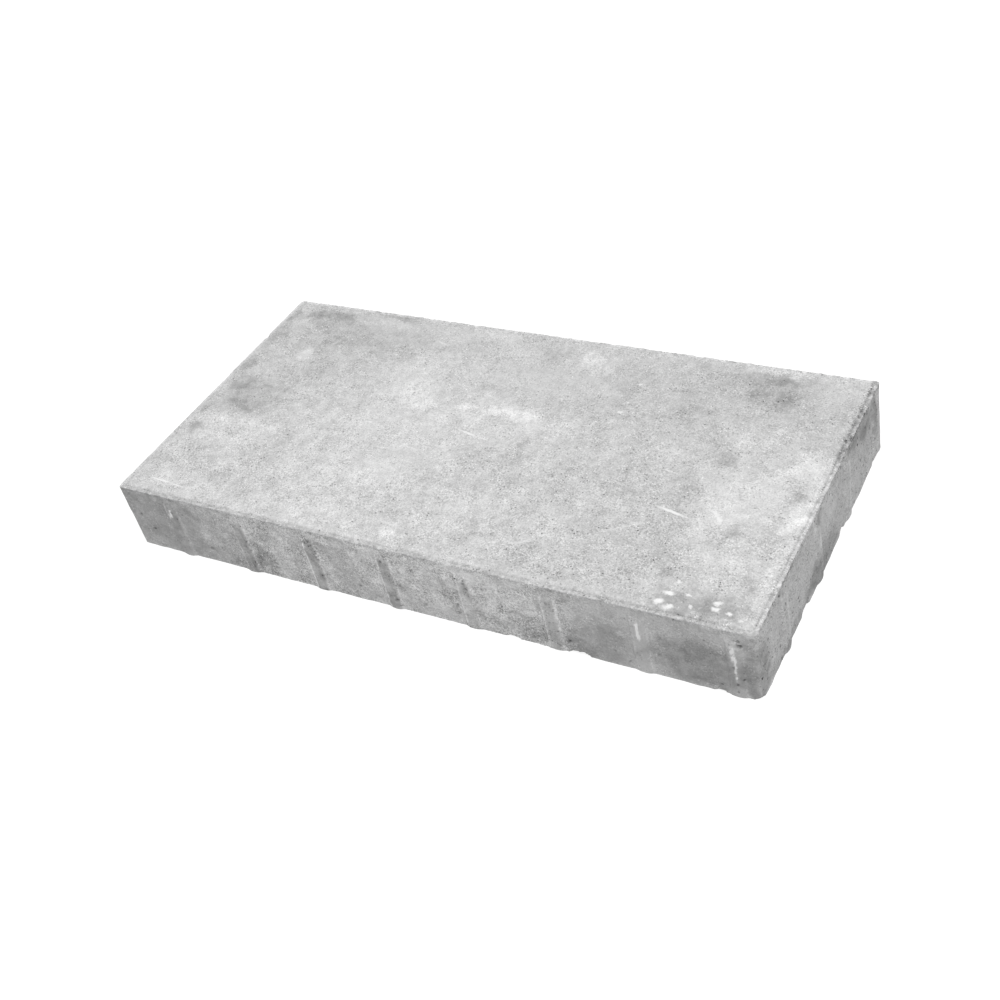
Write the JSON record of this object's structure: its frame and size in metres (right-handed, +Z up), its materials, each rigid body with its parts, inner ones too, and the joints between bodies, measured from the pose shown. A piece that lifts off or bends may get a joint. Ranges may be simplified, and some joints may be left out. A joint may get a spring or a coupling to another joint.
{
  "type": "concrete paving stone",
  "caption": "Rectangular pressed-concrete paving stone with a bevelled top edge, a narrow rim round it and upright spacer nibs on all four sides.",
  "frame": {"origin": "middle of the bed face, on the floor that the stone lies on", "axes": "+X along the long side, +Y along the short side, +Z up out of the walking face"},
  "size_m": [0.602, 0.302, 0.07],
  "materials": {
    "concrete": "raw grey concrete, fine-grained and matt"
  },
  "bodies": {
    "root": {"paving_stone": "concrete"}
  },
  "joints": []
}
